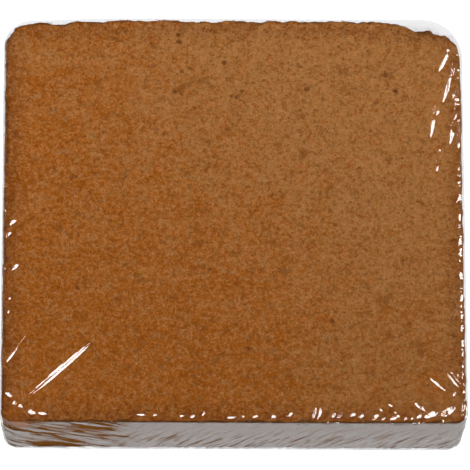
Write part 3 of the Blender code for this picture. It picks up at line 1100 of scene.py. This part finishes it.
@dataclass
class LoosePieces:
    """Small pieces scattered over the coir, most of them where it is loosest.

    The tilt is how far each leans from lying flat, at most, in radians.
    """

    name: str
    density: float
    tilt: float
    seed: int

    def shape(self, tree: GeometryTree, seed: bpy.types.NodeSocket) -> Sockets:
        """One piece's mesh and the sizes that its copies get, both as sockets."""
        raise NotImplementedError

    def build(self, block: bpy.types.Object, finish: bpy.types.Material) -> bpy.types.Object:
        """Makes the pieces over the block."""
        tree = GeometryTree(f"{self.name}_scatter")
        density = tree.input("Density", "NodeSocketFloat", self.density)
        seed = tree.input("Seed", "NodeSocketInt", self.seed)
        material = tree.input("Material", "NodeSocketMaterial", finish)
        inputs = {"Name": "loose"}
        loose = tree.node("GeometryNodeInputNamedAttribute", {"data_type": "FLOAT"}, inputs).outputs[0]
        local = tree.node("ShaderNodeMath", {"operation": "MULTIPLY"}, {0: density, 1: loose}).outputs[0]
        inputs = {"Mesh": tree.source.outputs["Geometry"], "Density": local, "Seed": seed}
        settings = {"distribute_method": "RANDOM"}
        points = tree.node("GeometryNodeDistributePointsOnFaces", settings, inputs).outputs
        tilts = {0: (-self.tilt, -self.tilt, 0.0), 1: (self.tilt, self.tilt, math.tau), "Seed": seed}
        spin = tree.node("FunctionNodeRandomValue", {"data_type": "FLOAT_VECTOR"}, tilts).outputs[0]
        inputs = {0: points["Rotation"], 1: spin}
        turned = tree.node("FunctionNodeRotateRotation", {"rotation_space": "LOCAL"}, inputs).outputs[0]
        piece, size = self.shape(tree, seed)
        inputs = {"Points": points[0], "Instance": piece, "Rotation": turned, "Scale": size}
        instances = tree.node("GeometryNodeInstanceOnPoints", {}, inputs).outputs[0]
        tree.finish(instances, material)
        return tree.apply(block, self.name)


@dataclass
class LooseCrumbs(LoosePieces):
    """Crumbs of pith that stand out of the coir's surface, from smallest to largest in millimetres."""

    name: str = "coir_crumbs"
    density: float = 72000.0
    tilt: float = 0.5
    seed: int = 11
    smallest: float = 0.4
    largest: float = 1.2
    flatness: float = 0.55

    def shape(self, tree: GeometryTree, seed: bpy.types.NodeSocket) -> Sockets:
        """A rough ball of 1 metre, and sizes that make flattish crumbs of it."""
        smallest = tree.input("Smallest", "NodeSocketFloat", self.smallest * MILLIMETRE)
        largest = tree.input("Largest", "NodeSocketFloat", self.largest * MILLIMETRE)
        crumb = tree.node("GeometryNodeMeshIcoSphere", {}, {"Radius": 0.5, "Subdivisions": 1}).outputs[0]
        low, high = (
            tree.node("ShaderNodeCombineXYZ", {}, {0: size, 1: size, 2: size}).outputs[0]
            for size in (smallest, largest)
        )
        inputs = {0: low, 1: high, "Seed": seed}
        size = tree.node("FunctionNodeRandomValue", {"data_type": "FLOAT_VECTOR"}, inputs).outputs[0]
        inputs = {0: size, 1: (1.0, 1.0, self.flatness)}
        return crumb, tree.node("ShaderNodeVectorMath", {"operation": "MULTIPLY"}, inputs).outputs[0]


@dataclass
class SurfaceFibres(LoosePieces):
    """Short fibres lying on the coir, their length and thickness in millimetres."""

    name: str = "coir_fibres"
    density: float = 10000.0
    tilt: float = 0.03
    seed: int = 23
    length: float = 6.0
    thickness: float = 0.14
    bow: float = 0.07
    shortest_share: float = 0.35
    longest_share: float = 1.5

    def shape(self, tree: GeometryTree, seed: bpy.types.NodeSocket) -> Sockets:
        """A bowed fibre 1 metre long, and sizes that make short fibres of it."""
        length = tree.input("Length", "NodeSocketFloat", self.length * MILLIMETRE)
        thickness = tree.input("Thickness", "NodeSocketFloat", self.thickness * MILLIMETRE)
        bowed = {"Resolution": 5, "Start": (-0.5, 0, 0), "Middle": (0, 2 * self.bow, 0), "End": (0.5, 0, 0)}
        line = tree.node("GeometryNodeCurveQuadraticBezier", {}, bowed).outputs[0]
        inputs = {0: thickness, 1: length}
        wide = tree.node("ShaderNodeMath", {"operation": "DIVIDE"}, inputs).outputs[0]
        inputs = {"Resolution": 3, "Radius": wide}
        ring = tree.node("GeometryNodeCurvePrimitiveCircle", {"mode": "RADIUS"}, inputs).outputs[0]
        inputs = {"Curve": line, "Profile Curve": ring, "Fill Caps": True}
        fibre = tree.node("GeometryNodeCurveToMesh", {}, inputs).outputs[0]
        inputs = {2: self.shortest_share, 3: self.longest_share, "Seed": seed}
        share = tree.node("FunctionNodeRandomValue", {"data_type": "FLOAT"}, inputs).outputs[1]
        inputs = {0: share, 1: length}
        return fibre, tree.node("ShaderNodeMath", {"operation": "MULTIPLY"}, inputs).outputs[0]


@dataclass
class ShrinkFilm:
    """The clear bag, shrunk tight round the coir, with its creases, puckers, weld and vents."""

    creases: tuple[Crease, ...] = CREASES
    crease_margin: float = 0.0025
    # A crease falls towards its ends as half a wave of a sine, to this power. Its width does so too, but
    # stays over the least share.
    taper_power: float = 0.6
    least_spread: float = 0.25
    middle_step: float = 0.0120
    rim_step: float = 0.0036
    side_step: float = 0.0120
    grading: float = 0.9
    crease_step: float = 0.0006
    crease_reach: float = 0.6
    sharpest_turn: float = 32.0
    rim_band: float = 0.006
    wave_height: float = 0.00022
    wave_lumps: Pair = (17.0, 2.0)
    pucker_height: float = 0.00040
    pucker_bias: float = 0.4
    # How many puckers there are to the metre inwards from an edge, along it and up, and the shifts of those
    # that start from the left and right edges and of those from the front and back edges.
    pucker_grain: Triple = (75.0, 210.0, 150.0)
    pucker_shifts: Pair = (3.0, 5.0)
    pucker_turn: Pair = (-0.006, 0.006)
    foot_band: float = 0.010
    weld_height: float = 0.0006
    weld_width: float = 0.0028
    # The weld ends where the surface looks to the front by this much.
    weld_end: float = 0.3
    vents: tuple[Pair, ...] = ((-95.0, 80.0), (95.0, -80.0))
    vent_radius: float = 3.0
    vent_step: float = 0.0010
    # Points nearer to a vent's rim than this share of the step are drawn onto it.
    vent_pull: float = 0.45
    level_from: float = 0.6
    bare_band: Pair = (-0.009, -0.003)
    sloping_band: Pair = (-0.085, -0.055)
    # How crumpled the film is within this band of its edges: on the right, on the left and elsewhere, and
    # in front, where it grows from the first share at the left to the sum of both at the right. The other
    # pairs are shares of the half size, from which it starts and is whole.
    crumple_band: Pair = (0.002, 0.014)
    right_crumple: float = 0.65
    left_crumple: float = 0.3
    least_crumple: float = 0.15
    front_crumple: Pair = (0.35, 0.65)
    right_from: Pair = (0.7, 0.95)
    outside_from: Pair = (0.8, 0.95)
    growing_from: Pair = (-0.5, 0.7)
    block: RoundedBlock = field(default_factory=lambda: RoundedBlock(0.0, back_right_corner=0.026))

    def crease_frame(self, crease: Crease, flat: np.ndarray) -> tuple[np.ndarray, np.ndarray, float]:
        """Where points lie on a crease.

        Args:
            crease: the crease.
            flat: points on the plain box.

        Returns:
            How far along it they are and how far across it, each from 0 to 1, and its length in metres.
        """
        start, end = (np.array(point) * MILLIMETRE for point in (crease.start, crease.end))
        length = float(np.hypot(*(end - start)))
        along = (end - start) / length
        rightwards = np.array([along[1], -along[0]])
        offset = flat[:, :2] - start
        return offset @ along / length, 0.5 - offset @ rightwards / (crease.width * MILLIMETRE), length

    def crease_rise(self, flat: np.ndarray) -> np.ndarray:
        """How far the creases lift the film at each point, in metres."""
        rise = np.zeros(len(flat))
        on_top = self.block.face_mask(flat, Side.TOP)
        for crease in self.creases:
            along, across, _ = self.crease_frame(crease, flat[on_top])
            taper = np.sin(np.pi * np.clip(along, 0, 1)) ** self.taper_power
            places, heights = zip(*crease.form.value)
            spread = 0.5 + (across - 0.5) / np.maximum(taper, self.least_spread)
            profile = np.interp(spread, places, heights, left=0.0, right=0.0)
            rise[on_top] += crease.width * MILLIMETRE * profile * taper
        return rise * smooth(self.block.from_edge(flat), 0.0, self.crease_margin)

    def step_at(self, flat: np.ndarray) -> np.ndarray:
        """The longest side wanted for a triangle at each point of the plain box."""
        top, below = (self.block.face_mask(flat, side) for side in (Side.TOP, Side.UNDERSIDE))
        step = np.where(top | below, self.middle_step, self.side_step)
        steps = (self.rim_step, self.side_step)
        step = np.minimum(step, self.block.near_rim_step(flat, steps, self.rim_band, self.grading))
        for crease in self.creases:
            reach = self.crease_reach * crease.width * MILLIMETRE
            away = np.maximum(self.crease_distance(crease, flat[top]) - reach, 0)
            step[top] = np.minimum(step[top], self.crease_step + self.grading * away)
        for vent in self.vents:
            away = np.abs(self.vent_distance(vent, flat[below]))
            step[below] = np.minimum(step[below], self.vent_step + self.grading * away)
        from_weld = np.maximum(np.abs(flat[:, 2]) - self.weld_width / 2, 0)
        weld_step = self.weld_width / 2 + 2 * self.grading * from_weld
        return np.where(self.block.face_mask(flat, Side.FRONT), step, np.minimum(step, weld_step))

    def crease_distance(self, crease: Crease, flat: np.ndarray) -> np.ndarray:
        """How far points of the top are from a crease's line, in metres."""
        along, across, length = self.crease_frame(crease, flat)
        beyond = np.maximum(np.abs(along - 0.5) - 0.5, 0) * length
        return np.hypot(beyond, (across - 0.5) * crease.width * MILLIMETRE)

    def vent_distance(self, vent: Pair, flat: np.ndarray) -> np.ndarray:
        """How far outside a vent's rim points of the underside are, in metres."""
        return np.hypot(*(flat[:, :2] - np.array(vent) * MILLIMETRE).T) - self.vent_radius * MILLIMETRE

    def punch_vents(self, surface: Surface) -> Surface:
        """Opens the vents in the underside, with their rims made round."""
        points, corners = surface.points.copy(), surface.corners
        for vent in self.vents:
            outside = self.vent_distance(vent, points)
            below = self.block.face_mask(points, Side.UNDERSIDE)
            rim = below & (np.abs(outside) < self.vent_pull * self.vent_step)
            centre = np.array(vent) * MILLIMETRE
            ray = points[rim, :2] - centre
            points[rim, :2] = centre + ray * (self.vent_radius * MILLIMETRE / np.hypot(*ray.T))[:, None]
            inside = below & (self.vent_distance(vent, points) < TOUCHING)
            corners = corners[~inside[corners].all(axis=1)]
        used, numbers = np.unique(corners, return_inverse=True)
        return Surface(points[used], numbers.reshape(corners.shape))

    def puckers(self, flat: np.ndarray) -> np.ndarray:
        """The waves over the faces and the tighter puckers that run in from the edges, in metres."""
        rim = 1 - smooth(self.block.from_edge(flat), 0.0, self.rim_band)
        half_x, half_y, half_z = self.block.half
        from_side, from_end = half_x - np.abs(flat[:, 0]), half_y - np.abs(flat[:, 1])
        inward, along, up = self.pucker_grain
        runs_x = lumps(flat, (inward, along, up), self.pucker_shifts[0])
        runs_y = lumps(flat, (along, inward, up), self.pucker_shifts[1])
        blend = smooth(from_side - from_end, *self.pucker_turn)
        tight = np.maximum(self.pucker_bias + runs_x * (1 - blend) + runs_y * blend, 0)
        waves = self.wave_height * (0.5 + 0.5 * lumps(flat, *self.wave_lumps))
        above_foot = smooth(flat[:, 2] + half_z, 0.0, self.foot_band)
        return (waves + self.pucker_height * rim * tight) * above_foot

    def crumple(self, flat: np.ndarray) -> np.ndarray:
        """How finely crumpled the film is: most on its right and front edges, least at the back."""
        rim = 1 - smooth(self.block.from_edge(flat), *self.crumple_band)
        share_x, share_y = (flat[:, :2] / self.block.half[:2]).T
        everywhere, rightwards = self.front_crumple
        growing = everywhere + rightwards * smooth(share_x, *self.growing_from)
        right = self.right_crumple * smooth(share_x, *self.right_from)
        front = smooth(-share_y, *self.outside_from) * growing
        left = self.left_crumple * smooth(-share_x, *self.outside_from)
        return rim * np.maximum.reduce([right, front, left, np.full(len(flat), self.least_crumple)])

    def weld_rise(self, flat: np.ndarray, out: np.ndarray) -> np.ndarray:
        """How far the weld stands out round the left side, the back and the right side, in metres."""
        inside = np.clip(1 - np.abs(flat[:, 2]) / (self.weld_width / 2), 0, 1)
        return self.weld_height * inside * (out[:, 1] > -self.weld_end)

    def build(self, finish: bpy.types.Material) -> bpy.types.Object:
        """Makes the film."""
        surface = self.punch_vents(Surface.box(self.block.half).refined(self.step_at))
        flat = surface.points
        place, out = self.block.place(flat)
        rise = self.crease_rise(flat) + self.puckers(flat) + self.weld_rise(flat, out)
        lifted = place + out * rise[:, None]
        lifted[:, 2] = np.maximum(lifted[:, 2], -self.block.half[2])
        made = surface.as_object("shrink_film", lifted, finish)
        upright = wall_share(flat, out, self.level_from)
        back_edge = smooth(flat[:, 1] - self.block.half[1], *self.bare_band)
        sloping = smooth(flat[:, 0], *self.sloping_band)
        add_values(made.data, "crumple", self.crumple(flat))
        add_values(made.data, "upright", upright)
        add_values(made.data, "bare", np.maximum(upright, back_edge))
        add_values(made.data, "silvered", upright * front_share(out))
        add_values(made.data, "sloping", np.maximum(sloping, flat[:, 1] > 0))
        wall = made.modifiers.new("film_wall", "SOLIDIFY")
        wall.thickness = FILM_THICKNESS
        wall.offset = -1.0
        plain = plain_copy(made, "shrink_film_plain")
        bpy.data.objects.remove(made, do_unlink=True)
        plain.name = "shrink_film"
        plain.data.set_sharp_from_angle(angle=math.radians(self.sharpest_turn))
        return plain


@dataclass(frozen=True)
class Lamp:
    """A rectangular lamp over the bale.

    It leans from straight above towards the front, and is then turned about the upright axis, both in
    degrees. Its size is in metres, level width first.
    """

    name: str
    lean: float
    turn: float
    size: Pair


@dataclass
class Studio:
    """The floor, the lights and the camera."""

    camera_elevation: float = 76.5
    camera_azimuth: float = -3.0
    camera_roll: float = -3.2
    camera_distance: float = 3.423
    pixels_to_metre: float = 1533.2
    picture_width: float = 470.0
    centre_pixel: Pair = (233.59, 234.70)
    sensor: float = 36.0
    lamps: tuple[Lamp, ...] = (
        Lamp("front_lamp", 35.0, 0.0, (1.1, 1.0)),
        Lamp("front_left_lamp", 35.0, -44.0, (1.1, 1.0)),
        Lamp("front_right_lamp", 35.0, 44.0, (1.1, 1.0)),
        Lamp("right_lamp", 35.0, 88.0, (1.1, 1.0)),
    )
    lamp_distance: float = 2.7
    lamp_radiance: float = 11.9
    horizon_band: Pair = (0.12, 0.60)
    sky_strength: Pair = (0.75, 0.05)
    floor_reach: float = 8.0

    def build_camera(self) -> bpy.types.Object:
        """Makes the camera that looks at the bale as the photograph does."""
        elevation, azimuth, roll = (
            math.radians(a) for a in (self.camera_elevation, self.camera_azimuth, self.camera_roll)
        )
        level = math.cos(elevation)
        back = Vector((math.sin(azimuth) * level, -math.cos(azimuth) * level, math.sin(elevation)))
        right = Vector((math.cos(azimuth), math.sin(azimuth), 0))
        up = back.cross(right)
        across = right * math.cos(roll) - up * math.sin(roll)
        upwards = right * math.sin(roll) + up * math.cos(roll)
        middle = self.picture_width / 2
        off_x = (middle - self.centre_pixel[0]) / self.pixels_to_metre
        off_y = (self.centre_pixel[1] - middle) / self.pixels_to_metre
        target = Vector((0, 0, BALE_SIZE[2] / 2)) + across * off_x + upwards * off_y
        data = bpy.data.cameras.new("camera")
        data.sensor_width = self.sensor
        data.lens = self.sensor * self.pixels_to_metre * self.camera_distance / self.picture_width
        camera = bpy.data.objects.new("camera", data)
        turn = Matrix((across, upwards, back)).transposed().to_4x4()
        camera.matrix_world = Matrix.Translation(target + back * self.camera_distance) @ turn
        data.clip_end = 100.0
        bpy.context.scene.collection.objects.link(camera)
        bpy.context.scene.camera = camera
        return camera

    def add_light(self, lamp: Lamp) -> bpy.types.Object:
        """Hangs a lamp over the bale, facing it, with its width level."""
        data = bpy.data.lights.new(lamp.name, "AREA")
        data.shape = "RECTANGLE"
        data.size, data.size_y = lamp.size
        data.energy = self.lamp_radiance * lamp.size[0] * lamp.size[1] * math.pi
        light = bpy.data.objects.new(lamp.name, data)
        lean = Matrix.Rotation(math.radians(lamp.lean), 3, "X")
        turn = Matrix.Rotation(math.radians(lamp.turn), 3, "Z") @ lean
        light.location = turn @ Vector((0, 0, self.lamp_distance))
        light.rotation_mode = "QUATERNION"
        light.rotation_quaternion = turn.to_quaternion()
        bpy.context.scene.collection.objects.link(light)
        return light

    def build_lights(self) -> None:
        """Hangs the lamps from the front left round to the right, and makes the surroundings."""
        for lamp in self.lamps:
            self.add_light(lamp)
        world = bpy.data.worlds.new("studio")
        world.use_nodes = True
        tree = world.node_tree
        way = tree.nodes.new("ShaderNodeTexCoord").outputs["Generated"]
        parts = tree.nodes.new("ShaderNodeSeparateXYZ")
        tree.links.new(way, parts.inputs[0])
        fade = tree.nodes.new("ShaderNodeMapRange")
        fade.interpolation_type = "SMOOTHSTEP"
        limits = zip(("From Min", "From Max", "To Min", "To Max"), (*self.horizon_band, *self.sky_strength))
        for name, value in limits:
            fade.inputs[name].default_value = value
        tree.links.new(parts.outputs["Z"], fade.inputs["Value"])
        background = tree.nodes["Background"]
        background.inputs["Color"].default_value = (1, 1, 1, 1)
        tree.links.new(fade.outputs["Result"], background.inputs["Strength"])
        bpy.context.scene.world = world

    def build_floor(self, finish: bpy.types.Material) -> bpy.types.Object:
        """Makes the floor."""
        mesh = bmesh.new()
        bmesh.ops.create_grid(mesh, x_segments=1, y_segments=1, size=self.floor_reach)
        data = bpy.data.meshes.new("floor")
        mesh.to_mesh(data)
        mesh.free()
        data.materials.append(finish)
        floor = bpy.data.objects.new("floor", data)
        bpy.context.scene.collection.objects.link(floor)
        return floor


def attach(piece: bpy.types.Object, node: str | None = None) -> None:
    """Lets a piece ride on the bale and the solid that it stands for."""
    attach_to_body(piece, "root")
    if node:
        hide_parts(node)
    piece.data.calc_loop_triangles()
    log.info("%s: %d triangles", piece.name, len(piece.data.loop_triangles))


def main() -> None:
    """Builds the bale and its studio."""
    logging.basicConfig(level=logging.INFO, format="%(name)s: %(message)s")
    studio = Studio()
    studio.build_camera()
    studio.build_lights()
    studio.build_floor(FloorFinish().make())
    coir = CoirFinish().make()
    block = CoirBlock().build(coir)
    crumbs = LooseCrumbs().build(block, coir)
    fibres = SurfaceFibres().build(block, FibreFinish().make())
    film = ShrinkFilm().build(FilmFinish().make())
    attach(block, "coir_block")
    attach(crumbs)
    attach(fibres)
    attach(film, "shrink_film")
    bpy.context.scene.view_settings.view_transform = "Standard"


if __name__ == "__main__":
    main()
